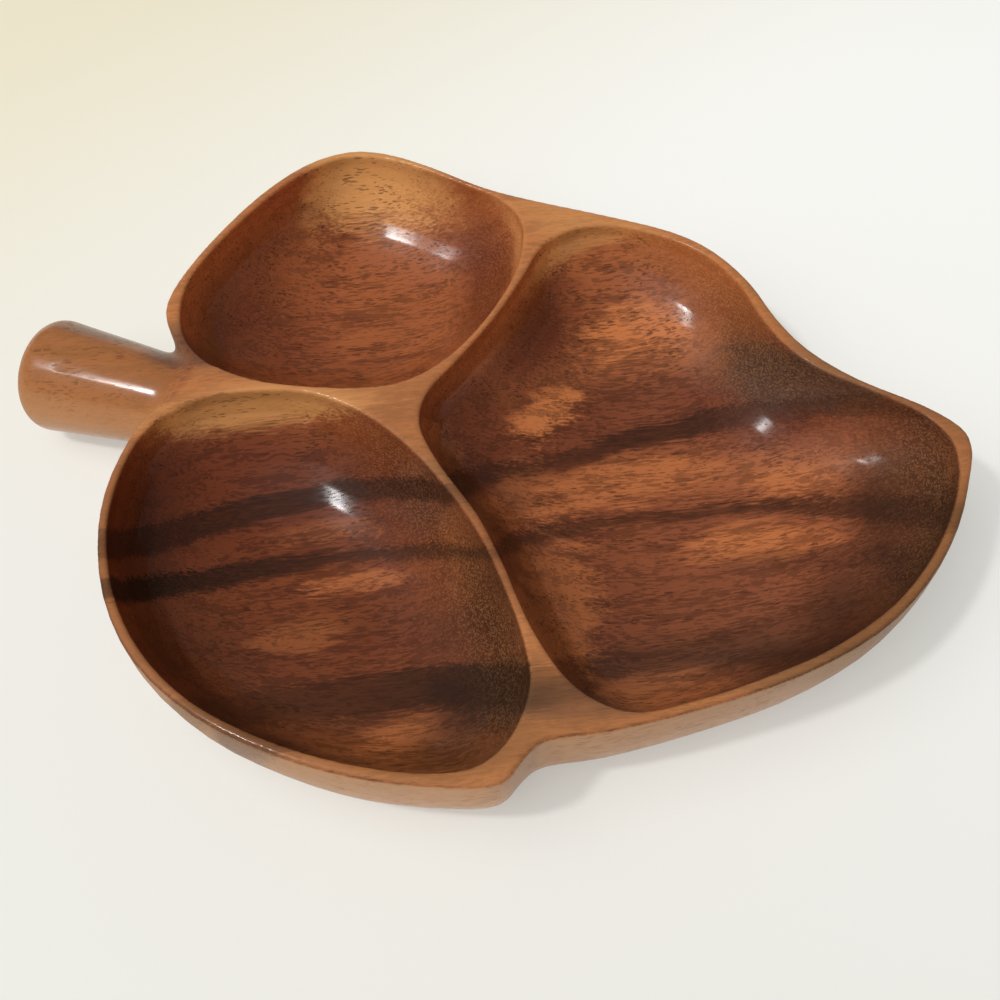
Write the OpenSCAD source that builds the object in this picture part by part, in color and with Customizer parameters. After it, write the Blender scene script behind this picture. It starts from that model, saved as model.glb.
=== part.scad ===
// Divided serving bowl carved from one block of hardwood: a leaf with two round
// lobes, a long tip and three pockets, and a short round stem for a handle.
// Millimetres. X runs from the end of the stem to the tip of the leaf, Z is up,
// and the origin is on the table under the middle of the whole outline.

/* [Leaf] */
// Length of the leaf, from its lobes to its tip, without the stem
leaf_l = 336; // [260:1:400]
// Width of the leaf across its two round lobes
leaf_w = 302; // [240:1:360]
// Height from the table to the rim
leaf_h = 50; // [44:1:64]
// Radius on the outer edge of the rim
rim_round = 1.4; // [0.6:0.1:2.4]

/* [Pockets] */
// Wood left under the floor of each pocket
floor_t = 9; // [6:0.5:14]
// Width of the rim at its narrowest
rim_w = 3.6; // [2.6:0.1:5]
// Width of the dividers between the pockets at their narrowest
divider_w = 2.6; // [2:0.1:4]

/* [Stem] */
// Length of the stem, from the nook between the lobes to its end
stem_l = 76; // [56:1:100]
// Diameter of the stem near its free end
stem_end_d = 48.5; // [36:0.5:49]
// Diameter of the stem where it grows out of the leaf
stem_neck_d = 37; // [30:1:42]
// Radius on the edge of the stem's end
stem_round = 9; // [5:1:14]
// Height of the crown on the stem's end
stem_crown = 2; // [1:0.5:4]
// Air between the stem's end and the table
stem_gap = 1; // [0.5:0.5:4]
// How far the top of the stem lies below the rim at the nook
stem_step = 2; // [0.5:0.5:5]
// How far the stem swings off the line to the tip
stem_swing = 11; // [0:1:16]

/* [Hidden] */

// How far cutters run past what they cut
overrun = 2;
// Size of the block that planes the underside and the stem's root
planing_d = 2 * (leaf_l + leaf_w);

// The leaf seen from above, tip first and counterclockwise. Each row is a point
// of the rim's outer edge and the point of the foot below it, as shares of
// leaf_l and leaf_w from the middle of the leaf.
leaf_shares = [
    [ 0.500,  0.050,   0.420,  0.025],
    [ 0.488,  0.080,   0.415,  0.045],
    [ 0.445,  0.110,   0.385,  0.065],
    [ 0.370,  0.143,   0.330,  0.095],
    [ 0.310,  0.186,   0.275,  0.135],
    [ 0.270,  0.238,   0.225,  0.185],
    [ 0.236,  0.300,   0.190,  0.240],
    [ 0.188,  0.355,   0.150,  0.290],
    [ 0.130,  0.388,   0.105,  0.315],
    [ 0.040,  0.409,   0.030,  0.335],
    [-0.060,  0.427,  -0.055,  0.355],
    [-0.130,  0.445,  -0.120,  0.370],
    [-0.205,  0.478,  -0.195,  0.405],
    [-0.270,  0.498,  -0.250,  0.425],
    [-0.325,  0.495,  -0.295,  0.420],
    [-0.380,  0.456,  -0.335,  0.390],
    [-0.430,  0.380,  -0.375,  0.335],
    [-0.472,  0.280,  -0.410,  0.255],
    [-0.496,  0.195,  -0.430,  0.185],
    [-0.498,  0.140,  -0.430,  0.140],
    [-0.475,  0.092,  -0.415,  0.090],
    [-0.446,  0.045,  -0.400,  0.040],
    [-0.459,  0.000,  -0.405, -0.010],
    [-0.482, -0.060,  -0.420, -0.070],
    [-0.493, -0.140,  -0.425, -0.140],
    [-0.486, -0.220,  -0.420, -0.210],
    [-0.455, -0.312,  -0.385, -0.270],
    [-0.400, -0.392,  -0.340, -0.330],
    [-0.320, -0.451,  -0.275, -0.378],
    [-0.230, -0.485,  -0.208, -0.405],
    [-0.140, -0.500,  -0.140, -0.430],
    [-0.050, -0.498,  -0.065, -0.425],
    [ 0.003, -0.486,  -0.020, -0.415],
    [ 0.024, -0.452,   0.005, -0.395],
    [ 0.045, -0.428,   0.035, -0.375],
    [ 0.110, -0.407,   0.090, -0.355],
    [ 0.200, -0.367,   0.170, -0.310],
    [ 0.300, -0.311,   0.255, -0.255],
    [ 0.383, -0.243,   0.320, -0.195],
    [ 0.440, -0.165,   0.375, -0.130],
    [ 0.477, -0.080,   0.405, -0.065],
    [ 0.496,  0.005,   0.420, -0.005]
];

// The cell that each pocket is hollowed from: two shares for the place, then
// how much the wall there is rim (1) or divider (0).
upper_cell_shares = [
    [-0.059,  0.320, 0.0],
    [-0.066,  0.384, 0.2],
    [-0.100,  0.431, 0.8],
    [-0.157,  0.459, 1.0],
    [-0.215,  0.483, 1.0],
    [-0.280,  0.499, 1.0],
    [-0.341,  0.488, 1.0],
    [-0.394,  0.435, 1.0],
    [-0.436,  0.364, 1.0],
    [-0.471,  0.281, 1.0],
    [-0.492,  0.206, 1.0],
    [-0.490,  0.142, 1.0],
    [-0.468,  0.087, 0.8],
    [-0.418,  0.048, 0.3],
    [-0.356,  0.031, 0.0],
    [-0.290,  0.030, 0.0],
    [-0.224,  0.038, 0.0],
    [-0.172,  0.060, 0.0],
    [-0.127,  0.109, 0.0],
    [-0.092,  0.178, 0.0],
    [-0.067,  0.255, 0.0]
];
lower_cell_shares = [
    [ 0.023, -0.365, 0.0],
    [ 0.010, -0.306, 0.0],
    [-0.016, -0.243, 0.0],
    [-0.056, -0.165, 0.0],
    [-0.105, -0.098, 0.0],
    [-0.157, -0.042, 0.0],
    [-0.218,  0.003, 0.0],
    [-0.285,  0.027, 0.0],
    [-0.346,  0.024, 0.0],
    [-0.408,  0.008, 0.3],
    [-0.458, -0.022, 0.9],
    [-0.485, -0.077, 1.0],
    [-0.493, -0.145, 1.0],
    [-0.485, -0.225, 1.0],
    [-0.453, -0.314, 1.0],
    [-0.402, -0.388, 1.0],
    [-0.333, -0.444, 1.0],
    [-0.247, -0.479, 1.0],
    [-0.160, -0.496, 1.0],
    [-0.078, -0.497, 1.0],
    [-0.019, -0.480, 1.0],
    [ 0.013, -0.433, 0.5]
];
tip_cell_shares = [
    [ 0.493,  0.005, 1.0],
    [ 0.486,  0.060, 1.0],
    [ 0.451,  0.103, 1.0],
    [ 0.389,  0.136, 1.0],
    [ 0.333,  0.161, 1.0],
    [ 0.295,  0.191, 1.0],
    [ 0.262,  0.238, 1.0],
    [ 0.229,  0.304, 1.0],
    [ 0.182,  0.356, 1.0],
    [ 0.123,  0.386, 1.0],
    [ 0.058,  0.400, 1.0],
    [ 0.000,  0.384, 0.7],
    [-0.039,  0.338, 0.0],
    [-0.060,  0.272, 0.0],
    [-0.086,  0.192, 0.0],
    [-0.124,  0.107, 0.0],
    [-0.152,  0.047, 0.0],
    [-0.153, -0.012, 0.0],
    [-0.118, -0.075, 0.0],
    [-0.069, -0.139, 0.0],
    [-0.031, -0.207, 0.0],
    [ 0.006, -0.284, 0.0],
    [ 0.047, -0.345, 0.0],
    [ 0.086, -0.380, 0.5],
    [ 0.135, -0.393, 1.0],
    [ 0.199, -0.368, 1.0],
    [ 0.270, -0.328, 1.0],
    [ 0.342, -0.278, 1.0],
    [ 0.408, -0.211, 1.0],
    [ 0.455, -0.133, 1.0],
    [ 0.482, -0.058, 1.0]
];
// The middle of each pocket's floor, and the middle that the leaf's rings turn
// round, as shares of leaf_l and leaf_w.
upper_middle_share = [-0.275, 0.262];
lower_middle_share = [-0.232, -0.240];
tip_middle_share = [0.150, -0.010];
leaf_middle_share = [-0.050, 0];
// The nook between the lobes, where the stem's axis enters the leaf
nook_share = [-0.444, 0.027];

// Share of a pocket's reach that stays flat as its floor
flat_share = 0.15;
// How boxy a pocket's hollow is: 2 is an ellipse, more is fuller
hollow_power = 2;
// How boxy the outer wall's curve is: 2 is an ellipse, more is fuller
wall_power = 3;
// How close the outer wall's curve comes to level at the foot, of 1
foot_curve_share = 0.97;
// Points along a curve between two rows of a table
leaf_steps = 3;
pocket_steps = 4;
// Rings down a wall, down a hollow, and round a small edge
wall_rings = 9;
hollow_rings = 11;
edge_rings = 3;
// How much closer together the rings lie towards the foot: 1 is evenly
ring_crowding = 1.5;
end_arcs = 8;
stem_facets = 96;

function placed(share) = [share[0] * leaf_l, share[1] * leaf_w];

// A smooth closed curve through the rows of a table, any number of columns
function between(a, b, c, d, t) =
    b + t * (c - a) / 2
    + t * t * (2 * a - 5 * b + 4 * c - d) / 2
    + t * t * t * (3 * b - a - 3 * c + d) / 2;
function curve(rows, steps) = [
    for (i = [0 : len(rows) - 1], k = [0 : steps - 1])
        let (n = len(rows))
        between(rows[(i + n - 1) % n], rows[i], rows[(i + 1) % n], rows[(i + 2) % n], k / steps)
];

// The way into a counterclockwise outline at point i
function inward(outline, i) =
    let (n = len(outline), along = outline[(i + 1) % n] - outline[(i + n - 1) % n])
    [-along[1], along[0]] / norm(along);
function at_height(outline, z) = [for (p = outline) [p[0], p[1], z]];

leaf_curve = curve(leaf_shares, leaf_steps);
rim_edge = [for (row = leaf_curve) [row[0] * leaf_l, row[1] * leaf_w]];
foot_edge = [for (row = leaf_curve) [row[2] * leaf_l, row[3] * leaf_w]];

// Share of the way from rim to foot that the wall has come in at height z
function turned_in(down) = 1 - pow(1 - pow(down, wall_power), 1 / wall_power);
function wall_share(z) =
    turned_in(foot_curve_share * (leaf_h - max(z, 0)) / leaf_h) / turned_in(foot_curve_share);
function wall_ring(z, pull) = [
    for (i = [0 : len(rim_edge) - 1])
        let (p = rim_edge[i] + wall_share(z) * (foot_edge[i] - rim_edge[i]) + pull * inward(rim_edge, i))
        [p[0], p[1], z]
];

// A closed solid through rings of points, bottom ring first, with both ends
// closed round a middle point that every ring can be seen from
module loft(rings, middle) {
    n = len(rings[0]);
    last = len(rings) - 1;
    low = (last + 1) * n;
    points = concat(
        [for (ring = rings) each ring],
        [[middle[0], middle[1], rings[0][0][2]], [middle[0], middle[1], rings[last][0][2]]]
    );
    sides = [
        for (j = [0 : last - 1], i = [0 : n - 1])
            let (a = j * n + i, b = j * n + (i + 1) % n)
            each [[a, b + n, b], [a, a + n, b + n]]
    ];
    ends = [
        for (i = [0 : n - 1])
            each [[low, i, (i + 1) % n], [low + 1, last * n + (i + 1) % n, last * n + i]]
    ];
    polyhedron(points, concat(sides, ends), convexity = 8);
}

// The leaf before it is hollowed: foot, curved wall and rounded rim
module leaf_block() {
    round_turn = 90 / (edge_rings - 1);
    wall_top = leaf_h - rim_round;
    walls = [
        for (k = [0 : wall_rings])
            wall_ring(wall_top * pow(k / wall_rings, ring_crowding), 0)
    ];
    edges = [
        for (k = [1 : edge_rings - 1])
            wall_ring(wall_top + rim_round * sin(k * round_turn), rim_round * (1 - cos(k * round_turn)))
    ];
    loft(concat([wall_ring(-overrun, 0)], walls, edges), placed(leaf_middle_share));
}

// The hollow of one pocket, with an upright rim, a wide curve and a flat floor
module hollow(cell_shares, middle_share) {
    middle = placed(middle_share);
    rows = curve(cell_shares, pocket_steps);
    cell = [for (row = rows) [row[0] * leaf_l, row[1] * leaf_w]];
    mouth = [
        for (i = [0 : len(cell) - 1])
            cell[i] + inward(cell, i) * (divider_w / 2 + rows[i][2] * (rim_w - divider_w / 2))
    ];
    depth = leaf_h - floor_t;
    bowl = [
        for (k = [0 : hollow_rings])
            let (
                turn = 90 * (1 - k / hollow_rings),
                reach = flat_share + (1 - flat_share) * pow(cos(turn), 2 / hollow_power),
                z = leaf_h - depth * pow(sin(turn), 2 / hollow_power)
            )
            [for (p = mouth) [each (middle + reach * (p - middle)), z]]
    ];
    loft(concat(bowl, [at_height(mouth, leaf_h + overrun)]), middle);
}

// A block that planes wood away, with its lower face at height z
module planing(z) {
    translate([-planing_d / 2, -planing_d / 2, z])
        cube(planing_d);
}

// The stem, turned round its own axis, with a crowned and rounded end. Its root
// stays under the rim, however high the leaf is.
stem_neck_z = leaf_h - stem_step - stem_neck_d / 2;
stem_end_z = stem_gap + stem_end_d / 2;
stem_full_l = stem_l - stem_crown - stem_round;
stem_tilt = atan((stem_neck_z - stem_end_z) / stem_full_l);
stem_root_l = stem_neck_d;
stem_taper = (stem_end_d - stem_neck_d) / 2 / stem_full_l;
stem_face_r = stem_end_d / 2 - stem_round;
stem_outline = concat(
    [[0, -stem_root_l], [stem_neck_d / 2 - stem_taper * stem_root_l, -stem_root_l]],
    [
        for (k = [0 : end_arcs])
            let (turn = 90 * k / end_arcs)
            [
                stem_face_r + stem_round * cos(turn),
                stem_full_l + stem_round * sin(turn)
            ]
    ],
    [[stem_face_r / 2, stem_l - stem_crown / 4], [0, stem_l]]
);
module stem() {
    difference() {
        translate([each placed(nook_share), stem_neck_z])
            rotate([0, 0, -stem_swing])
                rotate([0, -90 - stem_tilt, 0])
                    rotate_extrude($fn = stem_facets) polygon(stem_outline);
        planing(leaf_h - rim_round);
    }
}

// Middle of the whole outline, which the origin sits under
stem_end_x = placed(nook_share)[0]
    - max([for (p = stem_outline) p[1] * cos(stem_swing) + p[0] * sin(stem_swing)]);
middle_x = (stem_end_x + max([for (p = rim_edge) p[0]])) / 2;
middle_y = (max([for (p = rim_edge) p[1]]) + min([for (p = rim_edge) p[1]])) / 2;

module carved_bowl() {
    color("peru")
        translate([-middle_x, -middle_y, 0])
            difference() {
                union() {
                    leaf_block();
                    stem();
                }
                hollow(upper_cell_shares, upper_middle_share);
                hollow(lower_cell_shares, lower_middle_share);
                hollow(tip_cell_shares, tip_middle_share);
                planing(-planing_d);
            }
}

carved_bowl();
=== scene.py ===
"""The divided serving bowl: a leaf with three pockets and a stem, carved from one block of hardwood."""

import math

import bmesh
import bpy
from bpy.props import FloatProperty, FloatVectorProperty, IntProperty, PointerProperty
from mathutils import Matrix, Vector
from mathutils.kdtree import KDTree


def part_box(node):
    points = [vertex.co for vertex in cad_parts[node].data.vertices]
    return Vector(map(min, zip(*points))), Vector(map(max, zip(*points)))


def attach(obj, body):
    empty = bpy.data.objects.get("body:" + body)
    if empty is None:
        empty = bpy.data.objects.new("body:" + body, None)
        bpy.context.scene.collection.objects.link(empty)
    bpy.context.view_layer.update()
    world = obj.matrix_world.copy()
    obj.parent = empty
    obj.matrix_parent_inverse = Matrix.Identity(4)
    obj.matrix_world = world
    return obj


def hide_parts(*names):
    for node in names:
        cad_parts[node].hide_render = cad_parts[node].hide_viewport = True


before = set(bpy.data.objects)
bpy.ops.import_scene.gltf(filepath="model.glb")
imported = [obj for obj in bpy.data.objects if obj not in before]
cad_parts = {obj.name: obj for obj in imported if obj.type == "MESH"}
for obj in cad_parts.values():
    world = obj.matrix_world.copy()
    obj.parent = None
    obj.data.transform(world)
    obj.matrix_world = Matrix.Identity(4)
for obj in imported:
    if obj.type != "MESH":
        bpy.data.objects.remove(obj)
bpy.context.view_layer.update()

bl_info = {
    "name": "Divided Serving Bowl",
    "version": (1, 0),
    "blender": (4, 5, 0),
    "location": "View3D > Sidebar > Bowl",
    "description": "Carves and finishes a leaf-shaped hardwood bowl with three pockets and a stem",
    "category": "Add Mesh",
}

NODE = "carved_bowl"
PIECE = "serving_bowl"
MM = 1000

# Corners closer than this are one, in metres
MERGE = 1e-6
# How far one pass of sandpaper moves a point towards its neighbours
SANDPAPER = 0.5
# What each point of the surface is marked with
MARKS = ("across", "rim", "outside")
# Depth of the sanded rim below the bowl's top, and the height over which it fades in, in metres
RIM_DEPTH = 0.0012
RIM_FADE = 0.0010
# A crease sharper than this, seen from outside, is where the stem grows out of the leaf
CREASE = math.radians(25)
CREASE_STEP = 0.001

# Where the wood has the stem's own colour, in metres
STEM_MIDDLE = (-0.168, 0.008, 0.03)
STEM_REACH = (0.05, 0.034, 0.08)
# How far the fibres drift to either side, in metres
DRIFT = (0, 0.005, 0.005)
# Sizes of the wood's figures in metres, along the fibres and then across them
SWAY_SIZE = (0.16, 0.045, 0.045)
FLUTTER_SIZE = (0.03, 0.005, 0.005)
BRUSH_SIZE = (0.014, 0.0009, 0.0009)
BROAD_SIZE = (0.03, 0.006, 0.006)
STROKE_SIZE = (0.007, 0.0011, 0.0011)
CROWD_SIZE = (0.035, 0.007, 0.007)
SPECK_SIZE = (0.003, 0.001, 0.00055)
GRAIN_SIZE = (0.004, 0.0005, 0.0005)
# Depth of the open grain, in metres
RELIEF = 0.0002
# A stripe's middle and half width are kept in a colour ramp as shares of these, in millimetres
MIDDLE_SCALE = 250
HALF_SCALE = 10

# Width of the table and nearest thing that the camera sees, in metres, and its film in millimetres
TABLE_SIZE = 8
NEAREST = 0.01
FILM_WIDTH = 36


def tone(red, green, blue):
    """A colour read off a screen, 0 to 255, as the linear colour that a shader takes."""
    return tuple(
        share / 12.92 if share <= 0.04045 else ((share + 0.055) / 1.055) ** 2.4
        for share in (red / 255, green / 255, blue / 255)
    )


# The room's walls, which the far end of the table fades into
WALL_TONE = tone(252, 252, 248)


def length(name, description, default):
    """A setting in metres."""
    return FloatProperty(name=name, description=description, default=default, unit="LENGTH")


def turn(name, description, degrees):
    """A setting that is an angle."""
    return FloatProperty(name=name, description=description, default=math.radians(degrees), subtype="ANGLE")


def place(name, description, default):
    """A setting that is a place or a direction."""
    return FloatVectorProperty(name=name, description=description, default=default, subtype="XYZ")


def shade(name, description, red, green, blue):
    """A setting that is a colour, given as read off a screen."""
    return FloatVectorProperty(
        name=name, description=description, default=tone(red, green, blue), size=3, subtype="COLOR"
    )


class CarvingSettings(bpy.types.PropertyGroup):
    """How finely the bowl is cut and how far its edges are sanded."""

    cut: length("Cut", "Size of the finest cut", 0.0009)
    sanding: IntProperty(name="Sanding", description="Passes of sandpaper over the edges", default=7, min=0)
    crotch_reach: length("Crotch", "Reach of the hollow between stem and leaf", 0.013)
    crotch_sanding: IntProperty(
        name="Crotch sanding", description="Passes of sandpaper between stem and leaf", default=160, min=0
    )
    triangles: IntProperty(
        name="Triangles", description="Most triangles in the finished bowl", default=190000
    )


class WoodSettings(bpy.types.PropertyGroup):
    """The block of hardwood, its pith, pores and lacquer."""

    pith: place("Pith", "A point on the pith of the tree", (0, 0.0913, 0.1378))
    pith_way: place("Pith direction", "The way the pith runs", (0.977, 0.174, 0.121))
    grain_turn: turn("Grain", "Turn of the fibres from the leaf's length", 14)
    grain_rise: turn("Rise", "Rise of the fibres out of level", 2)
    pore_length: length("Pore length", "Length from pore to pore along the fibres", 0.007)
    pore_gap: length("Pore gap", "Distance from pore to pore across the fibres", 0.0011)
    pore_tone: shade("Pores", "Colour of the open pores", 66, 33, 20)
    flame_tone: shade("Flames", "Colour of the bright flames", 186, 110, 62)
    gold_tone: shade("Gold", "Colour of the golden wood", 216, 154, 92)
    ruddy_tone: shade("Ruddy", "Colour of the red-brown wood", 98, 44, 22)
    ash_tone: shade("Ash", "Colour of the grey-brown wood", 80, 58, 48)
    dark_tone: shade("Dark", "Colour of the darkest wood", 44, 26, 17)
    stem_tone: shade("Stem", "Colour of the stem", 155, 101, 55)
    end_grain_shade_tone: shade("End grain", "Colour that end grain darkens to", 54, 35, 22)
    speck_tone: shade("Specks", "Colour of the pores cut across", 166, 122, 80)
    rim_tone: shade("Rim", "Colour of the sanded rim", 198, 136, 84)
    outer_tone: shade("Outer wall", "Colour of the outer wall", 212, 156, 100)
    lacquer: FloatProperty(
        name="Lacquer", description="Strength of the lacquer", default=0.4, min=0, max=1
    )


class StageSettings(bpy.types.PropertyGroup):
    """Camera, window and table."""

    camera_place: place("Camera", "Place of the camera", (0.0481, -0.2935, 0.4517))
    camera_lean: turn("Lean", "Turn of the camera from straight down", 33)
    camera_turn: turn("Turn", "Turn of the camera round the bowl", 7.3607)
    lens: FloatProperty(name="Lens", description="Focal length in millimetres", default=45)
    window_turn: turn("Window", "Way to the window, from the leaf's length", -147)
    window_height: turn("Window height", "Height of the window over level", 58)
    window_reach: length("Window distance", "Distance from the bowl to the window", 3)
    window_size: length("Window size", "Width of the window", 0.26)
    window_watts: FloatProperty(name="Window light", description="Watts of the window", default=34)
    wall_size: length("Wall size", "Width of the bright wall round the window", 3.2)
    wall_watts: FloatProperty(
        name="Wall light", description="Watts of the bright wall round the window", default=56
    )
    room_light: FloatProperty(name="Room light", description="Strength of the room's light", default=0.27)
    table_tone: shade("Table", "Colour of the table near by", 234, 233, 227)
    table_far_tone: shade("Table far", "Colour of the table far away", 254, 254, 250)
    table_warm_tone: shade(
        "Table corner", "Colour of the table towards its far corner by the stem", 235, 227, 201
    )


class Wire:
    """One output in a material, used in sums as if it were a number."""

    def __init__(self, tree, socket):
        self.tree = tree
        self.socket = socket

    def maths(self, operation, *others):
        """A Math node of that operation on this wire and the others."""
        node = self.tree.nodes.new("ShaderNodeMath")
        node.operation = operation
        for hole, value in zip(node.inputs, (self, *others)):
            join(self.tree, value, hole)
        return Wire(self.tree, node.outputs[0])

    def flipped(self, operation, first):
        """The same, with the number first and the wire second."""
        node = self.tree.nodes.new("ShaderNodeMath")
        node.operation = operation
        join(self.tree, first, node.inputs[0])
        join(self.tree, self, node.inputs[1])
        return Wire(self.tree, node.outputs[0])

    def __add__(self, other):
        return self.maths("ADD", other)

    def __radd__(self, other):
        return self.flipped("ADD", other)

    def __sub__(self, other):
        return self.maths("SUBTRACT", other)

    def __rsub__(self, other):
        return self.flipped("SUBTRACT", other)

    def __mul__(self, other):
        return self.maths("MULTIPLY", other)

    def __rmul__(self, other):
        return self.flipped("MULTIPLY", other)

    def __truediv__(self, other):
        return self.maths("DIVIDE", other)

    def __rtruediv__(self, other):
        return self.flipped("DIVIDE", other)


def join(tree, value, hole):
    """Links a wire to a socket, or sets the socket to a number or colour."""
    if isinstance(value, Wire):
        tree.links.new(value.socket, hole)
    elif hole.type == "RGBA" and len(value) == 3:
        hole.default_value = (*value, 1)
    else:
        hole.default_value = value


class Bench:
    """A material or a world under work, with one way to add any node."""

    def __init__(self, finish):
        finish.use_nodes = True
        self.finish = finish
        self.tree = finish.node_tree
        self.tree.nodes.clear()

    def add(self, kind, settings=None, sockets=None, out=0):
        """A node of that kind: its settings first, then the values or links of its sockets."""
        node = self.tree.nodes.new(kind)
        for name, value in (settings or {}).items():
            if name == "stops":
                set_stops(node.color_ramp, value)
            else:
                setattr(node, name, value)
        for name, value in (sockets or {}).items():
            hole = next(socket for socket in node.inputs if socket.identifier == name)
            join(self.tree, value, hole)
        if isinstance(out, str):
            out = [socket.identifier for socket in node.outputs].index(out)
        return Wire(self.tree, node.outputs[out]) if node.outputs else None

    def vector(self, operation, first, second=None, scale=None, out=0):
        """A Vector Math node."""
        sockets = {"Vector": first}
        if second is not None:
            sockets["Vector_001"] = second
        if scale is not None:
            sockets["Scale"] = scale
        return self.add("ShaderNodeVectorMath", {"operation": operation}, sockets, out)

    def mixed(self, share, first, second):
        """A colour between two others."""
        return self.add(
            "ShaderNodeMix",
            {"data_type": "RGBA", "blend_type": "MIX", "clamp_factor": True},
            {"Factor_Float": share, "A_Color": first, "B_Color": second},
            "Result_Color",
        )

    def noise(self, spot, sizes, detail, roughness, out="Fac"):
        """Soft noise, of those sizes in metres."""
        return self.add(
            "ShaderNodeTexNoise",
            {"noise_dimensions": "3D"},
            {"Vector": self.stretched(spot, sizes), "Scale": 1.0, "Detail": detail, "Roughness": roughness},
            out,
        )

    def step(self, value, low, high):
        """0 below low, 1 above high and smooth between."""
        return self.add(
            "ShaderNodeMapRange",
            {"interpolation_type": "SMOOTHSTEP", "clamp": True},
            {"Value": value, "From Min": low, "From Max": high},
        )

    def cells(self, spot, sizes, randomness):
        """The distance from the nearest of many scattered points, that far apart in metres."""
        return self.add(
            "ShaderNodeTexVoronoi",
            {"voronoi_dimensions": "3D", "feature": "F1"},
            {"Vector": self.stretched(spot, sizes), "Scale": 1.0, "Randomness": randomness},
            "Distance",
        )

    def stretched(self, spot, sizes):
        """A place in units of the given sizes."""
        return self.vector("DIVIDE", spot, sizes)

    def seen(self):
        """1 for what the camera sees straight, and 1 for what it sees in a reflection or through glass."""
        rays = ("Is Camera Ray", "Is Glossy Ray", "Is Transmission Ray")
        camera, glossy, through = (self.add("ShaderNodeLightPath", out=ray) for ray in rays)
        return camera, glossy.maths("MAXIMUM", through)


def set_stops(ramp, stops):
    """Gives a colour ramp its stops, from the first to the last."""
    while len(ramp.elements) < len(stops):
        ramp.elements.new(1.0)
    for element, (position, colour) in zip(ramp.elements, stops):
        element.position = position
        element.color = (*colour, 1)


# The colour of the wood at each distance from the pith, in millimetres: near the stem, then near the tip
GROWTH = (
    (60, tone(170, 100, 56), tone(186, 112, 60)),
    (92, tone(154, 84, 47), tone(184, 110, 58)),
    (100, tone(152, 82, 45), tone(172, 100, 55)),
    (110, tone(150, 83, 46), tone(150, 86, 48)),
    (117, tone(135, 72, 41), tone(142, 79, 45)),
    (124, tone(122, 64, 35), tone(152, 87, 51)),
    (132, tone(108, 52, 26), tone(156, 92, 56)),
    (140, tone(99, 47, 23), tone(118, 65, 42)),
    (150, tone(100, 47, 24), tone(126, 69, 44)),
    (158, tone(99, 47, 24), tone(142, 80, 49)),
    (165, tone(103, 49, 25), tone(156, 90, 54)),
    (173, tone(110, 55, 28), tone(142, 79, 49)),
    (180, tone(111, 56, 29), tone(134, 75, 47)),
    (188, tone(107, 54, 28), tone(142, 79, 50)),
    (196, tone(102, 52, 27), tone(132, 73, 47)),
    (204, tone(102, 51, 28), tone(129, 72, 46)),
    (212, tone(109, 56, 31), tone(124, 69, 44)),
    (222, tone(100, 55, 32), tone(96, 57, 38)),
    (231, tone(108, 59, 34), tone(122, 70, 45)),
    (237, tone(123, 69, 39), tone(146, 84, 50)),
    (247, tone(128, 74, 40), tone(160, 98, 56)),
    (262, tone(168, 106, 66), tone(172, 112, 66)),
)

# Places along the pith, in millimetres. For each dark stripe there: the distance of its middle
# from the pith and half its width, both in millimetres, and how dark it is
STATIONS = (-160, -130, -90, -50, -10, 20, 60, 100, 140)
STRIPES = (
    (
        (155.5, 6, 0.7), (151.5, 6, 0.8), (148.5, 5, 0.8), (147, 5, 0.7), (151, 3, 0.55),
        (152.5, 3.3, 0.7), (151.5, 3.6, 0.8), (143.5, 4.5, 0.5), (138, 6, 0.3),
    ),
    (
        (173, 5, 0.95), (173, 4.3, 0.85), (172.5, 2.8, 0.75), (172, 3, 0.65), (172.3, 3, 0.55),
        (174.5, 2.2, 0.6), (176.7, 2.4, 0.7), (177.8, 2.5, 0.7), (179, 5, 0.5),
    ),
    (
        (222, 5, 0.3), (222, 6, 0.4), (222, 7, 0.5), (222, 8, 0.8), (223, 8, 0.6),
        (221, 6, 0.3), (220, 6, 0.3), (214, 8, 0.25), (210, 8, 0.1),
    ),
)

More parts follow.
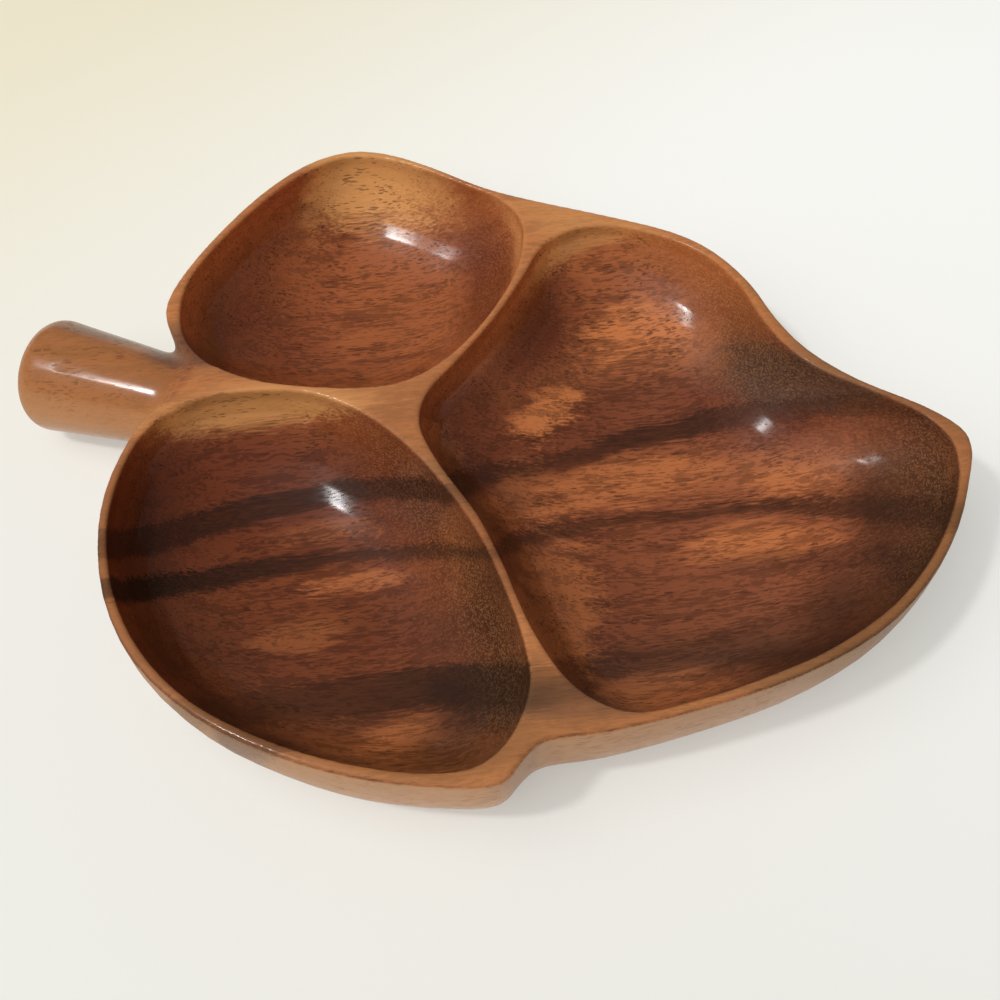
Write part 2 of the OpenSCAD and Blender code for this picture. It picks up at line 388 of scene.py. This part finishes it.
# Patches of another tone in the layers: the run along the pith, the distance from it and
# the bowl's own Y, then the reach of each, all in millimetres, the strength and the tone
PATCHES = (
    ((-133, 128, -40), (40, 18, 70), 0.6, "ruddy_tone"),
    ((-134, 110, 55), (42, 22, 50), 0.65, "ruddy_tone"),
    ((-10, 116, 94), (34, 18, 62), 0.9, "ruddy_tone"),
    ((88, 147, 0), (38, 14, 400), 0.6, "ruddy_tone"),
    ((1, 136, 40), (17, 8, 400), 0.9, "flame_tone"),
    ((44, 125, 70), (32, 9, 400), 0.85, "flame_tone"),
    ((-29, 121, 20), (19, 17, 22), 0.5, "ruddy_tone"),
    ((-64, 121, 100), (44, 8, 50), 0.25, "flame_tone"),
    ((-12, 158, 0), (16, 12, 400), 0.35, "flame_tone"),
    ((-46, 134, -4), (14, 16, 22), 0.3, "flame_tone"),
    ((-34, 166, -46), (14, 34, 38), 0.25, "flame_tone"),
    ((30, 163, 0), (42, 8, 400), 0.55, "flame_tone"),
    ((100, 170, 0), (22, 6, 400), 0.5, "flame_tone"),
    ((80, 187, 0), (36, 6, 400), 0.7, "flame_tone"),
    ((-84, 181, 0), (28, 5, 400), 0.45, "flame_tone"),
    ((-103, 198, 0), (20, 8, 400), 0.25, "flame_tone"),
    ((-62, 236, 0), (18, 7, 400), 0.45, "flame_tone"),
    ((-90, 163, 0), (30, 5, 400), 0.2, "flame_tone"),
    ((-2, 200, -50), (20, 34, 400), 0.55, "flame_tone"),
    ((32, 230, -80), (40, 8, 400), 0.3, "flame_tone"),
    ((-74, 132, -50), (34, 16, 50), 0.3, "ash_tone"),
    ((-50, 146, -32), (24, 26, 26), 0.35, "ash_tone"),
    ((106, 129, 45), (52, 17, 45), 0.85, "ash_tone"),
    ((112, 226, -60), (54, 11, 400), 0.75, "dark_tone"),
    ((110, 193, 0), (50, 5, 400), 0.4, "dark_tone"),
    ((124, 212, -60), (38, 22, 400), 0.65, "dark_tone"),
    ((143, 184, -20), (28, 38, 400), 0.75, "dark_tone"),
    ((-26, 225, -100), (30, 15, 400), 0.8, "dark_tone"),
    ((-34, 240, -120), (30, 12, 400), 0.5, "dark_tone"),
    ((-38, 203, -82), (20, 14, 24), 0.3, "dark_tone"),
)
# The smooth golden wood at the far side of the pockets
GOLDEN = (
    ((-112, 108, -5), (66, 12, 36), 0.7, "gold_tone"),
    ((-70, 106, 142), (46, 13, 40), 0.85, "gold_tone"),
    ((-74, 113, 144), (30, 10, 26), 0.8, "gold_tone"),
    ((20, 97, 110), (44, 8, 40), 0.5, "gold_tone"),
)
# Dark places on the rim and the outer wall, and painted shade in the nook between stem and leaf and along
# the stem's far side
STAINS_AND_NOOK_SHADE = (
    ((4, 229, -112), (36, 12, 14), 0.5, "ash_tone"),
    ((-108, 234, -142), (26, 9, 14), 0.5, "dark_tone"),
    # Painted shade: the crease between stem and leaf, then a band along the stem's far side
    ((-146, 87, 22), (20, 16, 12), 0.65, "ash_tone"),
    ((-172, 85, 32), (46, 30, 8), 0.5, "ash_tone"),
    ((-26, 180, -62), (15, 56, 50), 0.3, "ruddy_tone"),
)


class Block:
    """The block of wood as its material sees it: where a point lies, and how it was cut."""

    def __init__(self, bench, wood):
        self.place = bench.add("ShaderNodeTexCoord", out="Object")
        self.along = bench.add(
            "ShaderNodeMapping",
            {"vector_type": "TEXTURE"},
            {"Vector": self.place, "Rotation": (0, -wood.grain_rise, wood.grain_turn)},
        )
        self.across, rim, self.outside = (
            bench.add("ShaderNodeAttribute", {"attribute_name": name}, out="Fac") for name in MARKS
        )
        # How squarely the wall cuts the fibres, and which of the two ways it then faces
        self.end_grain = bench.step(self.across.maths("ABSOLUTE"), 0.2, 0.8)
        self.stemward = self.end_grain * bench.step(self.across, 0.1, -0.3)
        self.tipward = self.end_grain * bench.step(self.across, 0.1, 0.5)
        # How far a point is stem or rim, and how far it is none of the paler parts
        stem = bench.stretched(bench.vector("SUBTRACT", self.place, STEM_MIDDLE), STEM_REACH)
        self.stem = 1 - bench.step(bench.vector("LENGTH", stem, out="Value"), 0.75, 1.05)
        self.rim = rim * (1 - self.stem)
        self.bare = 1 - (self.rim * 0.8 + self.outside * 0.7 + self.stem * 0.4).maths("MINIMUM", 1)

        # The layers wander a little on their way along the block, and their ends look brushed
        sway = self.drift(bench, SWAY_SIZE, 2, 0.5)
        flutter = self.drift(bench, FLUTTER_SIZE, 3, 0.6)
        self.waved = bench.vector("ADD", self.along, flutter)
        self.brush = bench.noise(self.along, BRUSH_SIZE, 2, 0.6)
        self.broad = bench.noise(self.along, BROAD_SIZE, 2, 0.5)
        self.edge = (self.brush - 0.5) * 1.1 + (self.broad - 0.5) * 1.2

        # How far along the pith and how far from it a point lies
        swayed = bench.vector("ADD", bench.vector("ADD", self.place, sway), flutter)
        reach = bench.vector("SUBTRACT", swayed, tuple(wood.pith))
        way = tuple(Vector(wood.pith_way).normalized())
        self.run = bench.vector("DOT_PRODUCT", reach, way, out="Value")
        axis = bench.vector("SCALE", way, scale=self.run)
        distance = bench.vector("LENGTH", bench.vector("SUBTRACT", reach, axis), out="Value")
        self.distance = distance * MM + (self.brush - 0.5) * 7
        self.near_tip = bench.add(
            "ShaderNodeMapRange", {"clamp": True}, {"Value": self.run, "From Min": -0.05, "From Max": 0.09}
        )
        side, self.height = (
            bench.add("ShaderNodeSeparateXYZ", sockets={"Vector": self.place}, out=name) for name in "YZ"
        )
        self.spot = bench.add(
            "ShaderNodeCombineXYZ", sockets={"X": self.run * MM, "Y": self.distance, "Z": side * MM}
        )

    def drift(self, bench, sizes, detail, roughness):
        """A soft shift across the fibres, a few millimetres at most."""
        noise = bench.noise(self.along, sizes, detail, roughness, "Color")
        return bench.vector("MULTIPLY", bench.vector("SUBTRACT", noise, (0.5, 0.5, 0.5)), DRIFT)


def layers(bench, block):
    """The colour of the growth layers."""
    inner, outer = GROWTH[0][0], GROWTH[-1][0]
    share = (block.distance - inner) / (outer - inner)
    near_stem, near_tip = (
        bench.add(
            "ShaderNodeValToRGB",
            {"stops": [((row[0] - inner) / (outer - inner), row[column]) for row in GROWTH]},
            {"Fac": share},
        )
        for column in (1, 2)
    )
    return bench.mixed(block.near_tip, near_stem, near_tip)


def patched(bench, block, colour, wood, table):
    """The colour with every patch of another tone laid over it, flames with the most ragged edges."""
    for middle, reach, strength, name in table:
        gap = bench.stretched(bench.vector("SUBTRACT", block.spot, middle), reach)
        ragged = block.edge if name == "flame_tone" else block.edge * 0.4
        gap = bench.vector("LENGTH", gap, out="Value") + ragged
        patch = (1 - bench.step(gap, 0.45, 1.1)) * strength
        colour = bench.mixed(patch, colour, tuple(getattr(wood, name)))
    return colour


def stroked(bench, block, colour):
    """The colour with wavy brown strokes in it, in crowds, and dots where the wall cuts across them."""
    strokes = bench.noise(block.waved, STROKE_SIZE, 3, 0.6)
    strokes = bench.step(strokes + (block.broad - 0.5) * 0.6, 0.485, 0.565)
    strokes = strokes * (1 - block.end_grain * 0.5) * (1 - block.stemward)
    return bench.vector("SCALE", colour, scale=1.13 - 0.42 * strokes)


def stripes(bench, block):
    """How dark the stripes are at each point, brushed through by paler strokes."""
    start, whole = STATIONS[0], STATIONS[-1] - STATIONS[0]
    station = (block.run * MM - start) / whole
    solid = (0.55 + block.brush * 0.9) * (1 - block.outside * 0.35 - block.rim * 0.35)
    darkest = 0.0
    for stripe in STRIPES:
        stops = [
            ((at - start) / whole, (middle / MIDDLE_SCALE, half / HALF_SCALE, darkness))
            for at, (middle, half, darkness) in zip(STATIONS, stripe)
        ]
        course = bench.add("ShaderNodeValToRGB", {"stops": stops}, {"Fac": station})
        middle, half, darkness = (
            bench.add("ShaderNodeSeparateColor", sockets={"Color": course}, out=part) for part in range(3)
        )
        gap = (block.distance - middle * MIDDLE_SCALE).maths("ABSOLUTE") - half * HALF_SCALE
        streak = (1 - bench.step(gap, -1.8, 1.2)) * darkness * solid
        darkest = streak.maths("MAXIMUM", darkest)
    return darkest


def lacquered_hardwood(wood):
    """The streaked hardwood under satin lacquer, solid through the whole block."""
    bench = Bench(bpy.data.materials.new("lacquered_hardwood"))
    block = Block(bench, wood)
    colour = patched(bench, block, layers(bench, block), wood, PATCHES)
    colour = patched(bench, block, stroked(bench, block, colour), wood, GOLDEN)

    # The rim and the outer wall are made paler, and the stem is brown on top and pale below
    colour = bench.mixed(block.rim * 0.4, colour, tuple(wood.rim_tone))
    colour = bench.mixed(block.stem * 0.7, colour, tuple(wood.stem_tone))
    colour = bench.mixed(block.outside * (0.6 - block.stem * 0.15), colour, tuple(wood.outer_tone))
    colour = patched(bench, block, colour, wood, STAINS_AND_NOOK_SHADE)
    striped = stripes(bench, block)
    colour = bench.mixed(striped, colour, tuple(wood.dark_tone))

    # Pores: dashes along the grain in crowds, dots where the wall cuts across it
    pores = bench.cells(block.waved, (wood.pore_length, wood.pore_gap, wood.pore_gap), 1.0)
    crowd = bench.noise(block.along, CROWD_SIZE, 2, 0.6)
    crowd = bench.step(crowd, 0.4, 0.62)
    pores = 1 - bench.step(pores / (0.22 + 0.16 * crowd), 0.7, 1.1)
    dashes = pores * (1 - block.stemward) * block.bare * (0.3 + 0.3 * crowd)
    colour = bench.mixed(dashes, colour, tuple(wood.pore_tone))

    # End grain that faces the tip gets painted shade, redder and darker as from bounce light, and a painted
    # lighter band up by the rim, where more light reaches the wall
    painted_wall_shade_and_light = block.tipward * (1 - block.outside) * (1 - block.rim)
    colour = bench.mixed(painted_wall_shade_and_light, colour, bench.vector("MULTIPLY", colour, (0.86, 0.81, 0.76)))
    # Painted light: the wall that faces the tip is made paler just under the rim
    colour = bench.vector("SCALE", colour, scale=1 + 1.1 * painted_wall_shade_and_light * bench.step(block.height, 0.03, 0.046))

    # End grain that faces the stem is darker where it is steepest, partly its own colour and partly painted
    # shade, as if those walls were turned from a low light at the near side, and its pores shine pale
    deep = bench.step(block.distance + block.near_tip * 50, 145, 190)
    deep = deep * (1 - bench.step(block.distance, 226, 236))
    thirst_and_painted_shade = block.stemward * bench.step(block.across, -0.35, -0.8) * deep
    thirst_and_painted_shade = thirst_and_painted_shade * (1 - block.outside * 0.8) * (1 - block.rim)
    # Painted shade, with the end grain's own darkening, on the steep walls that face the stem
    colour = bench.mixed(thirst_and_painted_shade * 0.6, colour, tuple(wood.end_grain_shade_tone))
    specks = 1 - bench.step(bench.cells(block.waved, SPECK_SIZE, 0.9), 0.2, 0.62)
    shine = specks * block.bare * block.end_grain * bench.step(block.across, 0.9, -0.5)
    shine = shine * (1 - striped * 0.7)
    colour = bench.vector("SCALE", colour, scale=1 - 0.15 * block.end_grain)
    colour = bench.mixed(shine * 0.22, colour, tuple(wood.speck_tone))
    colour = bench.vector("SCALE", colour, scale=1 + shine * 0.3)

    grain = bench.noise(block.along, GRAIN_SIZE, 2, 0.6)
    colour = bench.vector("SCALE", colour, scale=0.86 + 0.28 * grain)
    relief = grain * (0.3 + block.end_grain) - pores * 0.8 - block.stemward * specks * 1.5
    bump = bench.add("ShaderNodeBump", sockets={"Strength": 0.35, "Distance": RELIEF, "Height": relief})

    gloss = wood.lacquer * (1 + block.stem) * (1 - 0.6 * bench.step(block.run, 0.078, 0.1))
    gloss = gloss * (1 - pores * 0.6) * (1 - block.stemward * 0.6) * (1 - striped * 0.6)
    shader = bench.add(
        "ShaderNodeBsdfPrincipled",
        sockets={
            "Base Color": colour,
            "Roughness": 0.34 + 0.12 * grain + 0.1 * pores + 0.12 * block.stemward,
            "IOR": 1.45,
            "Specular IOR Level": 0.1,
            "Coat Weight": gloss,
            "Coat Roughness": 0.17,
            "Normal": bump,
        },
    )
    bench.add("ShaderNodeOutputMaterial", sockets={"Surface": shader})
    return bench.finish


def fibre_frame(wood):
    """The turn from the fibres' own axes, X along them, to the bowl's."""
    return Matrix.Rotation(wood.grain_turn, 3, "Z") @ Matrix.Rotation(-wood.grain_rise, 3, "Y")


def table_top(near, far, corner_tone):
    """A plain matte table, which the camera and the lacquer see brighter than its light makes it."""
    bench = Bench(bpy.data.materials.new("table_top"))
    spot = bench.add("ShaderNodeTexCoord", out="Object")
    distance = bench.vector("LENGTH", spot, out="Value")
    away = bench.step(distance, 0.5, 1.6)
    back = bench.vector("DOT_PRODUCT", spot, (0.45, 0.9, 0), out="Value")
    colour = bench.mixed(bench.step(back, -0.25, 0.4), near, far)
    corner = bench.vector("DOT_PRODUCT", spot, (-0.7, 0.7, 0), out="Value")
    corner = bench.step(corner, 0.05, 0.45) * (1 - bench.step(distance, 0.4, 0.9))
    colour = bench.mixed(corner, colour, corner_tone)
    colour = bench.mixed(away, colour, WALL_TONE)
    lit = bench.add("ShaderNodeBsdfDiffuse", sockets={"Color": colour})
    glow = bench.add("ShaderNodeEmission", sockets={"Color": colour, "Strength": 1.0})
    straight, mirrored = bench.seen()
    share = straight.maths("MAXIMUM", mirrored) * (0.45 + 0.55 * away)
    shader = bench.add("ShaderNodeMixShader", sockets={"Fac": share, "Shader": lit, "Shader_001": glow})
    bench.add("ShaderNodeOutputMaterial", sockets={"Surface": shader})
    return bench.finish


def pale_room(light):
    """The room: dim light from all round, with walls that are seen as pale as the table."""
    bench = Bench(bpy.data.worlds.new("pale_room"))
    way = bench.add("ShaderNodeTexCoord")
    height = bench.add("ShaderNodeSeparateXYZ", sockets={"Vector": way}, out="Z")
    straight, mirrored = bench.seen()
    walls = straight.maths("MAXIMUM", mirrored * (1 - bench.step(height, 0.05, 0.25)))
    air = bench.add(
        "ShaderNodeBackground",
        sockets={"Color": WALL_TONE, "Strength": light + (0.98 - light) * walls},
    )
    bench.add("ShaderNodeOutputWorld", sockets={"Surface": air})
    return bench.finish


def pick(piece):
    """Deselects everything, then selects and activates one piece."""
    bpy.ops.object.select_all(action="DESELECT")
    piece.select_set(True)
    bpy.context.view_layer.objects.active = piece


def applied(piece, kind, **settings):
    """Adds a modifier of that kind with its settings and applies it."""
    modifier = piece.modifiers.new(kind.title(), kind)
    for name, value in settings.items():
        setattr(modifier, name, value)
    pick(piece)
    bpy.ops.object.modifier_apply(modifier=modifier.name)


def crotch_points(piece):
    """Points along the crease where the stem grows out of the leaf."""
    mesh = bmesh.new()
    mesh.from_mesh(piece.data)
    points = []
    for edge in mesh.edges:
        if len(edge.link_faces) == 2 and edge.calc_face_angle_signed() < -CREASE:
            steps = max(1, round(edge.calc_length() / CREASE_STEP))
            start, end = edge.verts[0].co, edge.verts[1].co
            points += [start.lerp(end, step / steps) for step in range(steps + 1)]
    mesh.free()
    return points


def near_crotch(piece, points, reach):
    """Puts the wood near the crease in a vertex group, strongest at the crease."""
    tree = KDTree(len(points))
    for number, point in enumerate(points):
        tree.insert(point, number)
    tree.balance()
    group = piece.vertex_groups.new(name="crotch")
    for vertex in piece.data.vertices:
        gap = tree.find(vertex.co)[2]
        if gap < reach:
            group.add([vertex.index], (1 - (gap / reach) ** 2) ** 2, "REPLACE")
    return group


def mark_surface(piece, fibres, rim_height):
    """Marks each point: how squarely it cuts the fibres, and how far it is rim or outer wall."""
    mesh = piece.data
    across, rim, outer = (mesh.attributes.new(name, "FLOAT", "POINT") for name in MARKS)
    neighbours = [[] for _ in mesh.vertices]
    for edge in mesh.edges:
        first, second = edge.vertices
        neighbours[first].append(second)
        neighbours[second].append(first)
    heights = [vertex.co.z for vertex in mesh.vertices]
    rim_start = rim_height - RIM_DEPTH
    lowest = min(range(len(heights)), key=heights.__getitem__)
    outside = {lowest}
    queue = [lowest]
    while queue:
        for other in neighbours[queue.pop()]:
            if other not in outside and heights[other] < rim_start:
                outside.add(other)
                queue.append(other)
    for number, vertex in enumerate(mesh.vertices):
        across.data[number].value = vertex.normal.dot(fibres)
        rim.data[number].value = min(1, max(0, (heights[number] - rim_start) / RIM_FADE))
        if number in outside:
            upward = min(1, max(0, 1.4 * vertex.normal.z - 0.1))
            rim.data[number].value = upward * 0.6
            outer.data[number].value = 1 - upward


class BOWL_OT_carve(bpy.types.Operator):
    """Carve the bowl from its block, sand it and lacquer it"""

    bl_idname = "bowl.carve"
    bl_label = "Carve bowl"

    def execute(self, context):
        carving = context.scene.bowl_carving
        wood = context.scene.bowl_wood
        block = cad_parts[NODE]
        bowl = bpy.data.objects.new(PIECE, block.data.copy())
        context.scene.collection.objects.link(bowl)
        bowl.data.materials.clear()
        pick(bowl)
        bpy.ops.object.mode_set(mode="EDIT")
        bpy.ops.mesh.select_all(action="SELECT")
        bpy.ops.mesh.remove_doubles(threshold=MERGE)
        bpy.ops.object.mode_set(mode="OBJECT")
        crease = crotch_points(bowl)
        if not crease:
            raise RuntimeError("The stem's crease wasn't found in the block.")
        applied(bowl, "REMESH", mode="VOXEL", voxel_size=carving.cut)
        group = near_crotch(bowl, crease, carving.crotch_reach)
        applied(bowl, "SMOOTH", factor=SANDPAPER, iterations=carving.sanding)
        applied(
            bowl, "SMOOTH", factor=SANDPAPER, iterations=carving.crotch_sanding, vertex_group=group.name
        )
        bowl.vertex_groups.clear()
        bowl.data.calc_loop_triangles()
        applied(bowl, "DECIMATE", ratio=min(1, carving.triangles / len(bowl.data.loop_triangles)))
        pick(bowl)
        bpy.ops.object.shade_smooth()
        mark_surface(bowl, fibre_frame(wood) @ Vector((1, 0, 0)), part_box(NODE)[1].z)
        bowl.data.materials.append(lacquered_hardwood(wood))
        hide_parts(NODE)
        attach(bowl, "root")
        return {"FINISHED"}


class BOWL_OT_stage(bpy.types.Operator):
    """Set up the camera, the table and the window"""

    bl_idname = "bowl.stage"
    bl_label = "Set the stage"

    def execute(self, context):
        stage = context.scene.bowl_stage
        bpy.ops.object.select_all(action="DESELECT")
        bpy.ops.object.camera_add(
            location=stage.camera_place, rotation=(stage.camera_lean, 0, stage.camera_turn)
        )
        camera = context.object
        camera.name = "camera"
        camera.data.lens = stage.lens
        camera.data.sensor_width = FILM_WIDTH
        camera.data.clip_start = NEAREST
        context.scene.camera = camera

        bpy.ops.mesh.primitive_plane_add(size=TABLE_SIZE)
        table = context.object
        table.name = "table"
        tones = (tuple(each) for each in (stage.table_tone, stage.table_far_tone, stage.table_warm_tone))
        table.data.materials.append(table_top(*tones))

        way = Vector(
            (
                math.cos(stage.window_height) * math.cos(stage.window_turn),
                math.cos(stage.window_height) * math.sin(stage.window_turn),
                math.sin(stage.window_height),
            )
        )
        for name, size, watts in (
            ("window", stage.window_size, stage.window_watts),
            ("window_wall", stage.wall_size, stage.wall_watts),
        ):
            bpy.ops.object.light_add(type="AREA", location=way * stage.window_reach)
            lamp = context.object
            lamp.name = name
            lamp.rotation_euler = way.to_track_quat("Z", "Y").to_euler()
            lamp.data.shape = "DISK"
            lamp.data.size = size
            lamp.data.energy = watts
            lamp.visible_glossy = name == "window"

        context.scene.world = pale_room(stage.room_light)
        context.scene.view_settings.view_transform = "Standard"
        return {"FINISHED"}


class BOWL_PT_panel(bpy.types.Panel):
    """The bowl's settings in the sidebar."""

    bl_idname = "BOWL_PT_panel"
    bl_label = "Divided Serving Bowl"
    bl_space_type = "VIEW_3D"
    bl_region_type = "UI"
    bl_category = "Bowl"

    def draw(self, context):
        for settings, operator in (
            (context.scene.bowl_stage, BOWL_OT_stage),
            (context.scene.bowl_carving, BOWL_OT_carve),
            (context.scene.bowl_wood, None),
        ):
            box = self.layout.box()
            for name in settings.__annotations__:
                box.prop(settings, name)
            if operator:
                box.operator(operator.bl_idname)


CLASSES = (CarvingSettings, WoodSettings, StageSettings, BOWL_OT_carve, BOWL_OT_stage, BOWL_PT_panel)
GROUPS = {"bowl_carving": CarvingSettings, "bowl_wood": WoodSettings, "bowl_stage": StageSettings}


def register():
    """Adds the settings, the operators and the panel to Blender."""
    for each in CLASSES:
        bpy.utils.register_class(each)
    for name, group in GROUPS.items():
        setattr(bpy.types.Scene, name, PointerProperty(type=group))


def unregister():
    """Takes them out again."""
    for name in GROUPS:
        delattr(bpy.types.Scene, name)
    for each in reversed(CLASSES):
        bpy.utils.unregister_class(each)


def main():
    """Builds the stage and the bowl."""
    register()
    bpy.ops.bowl.stage()
    bpy.ops.bowl.carve()


if __name__ == "__main__":
    main()
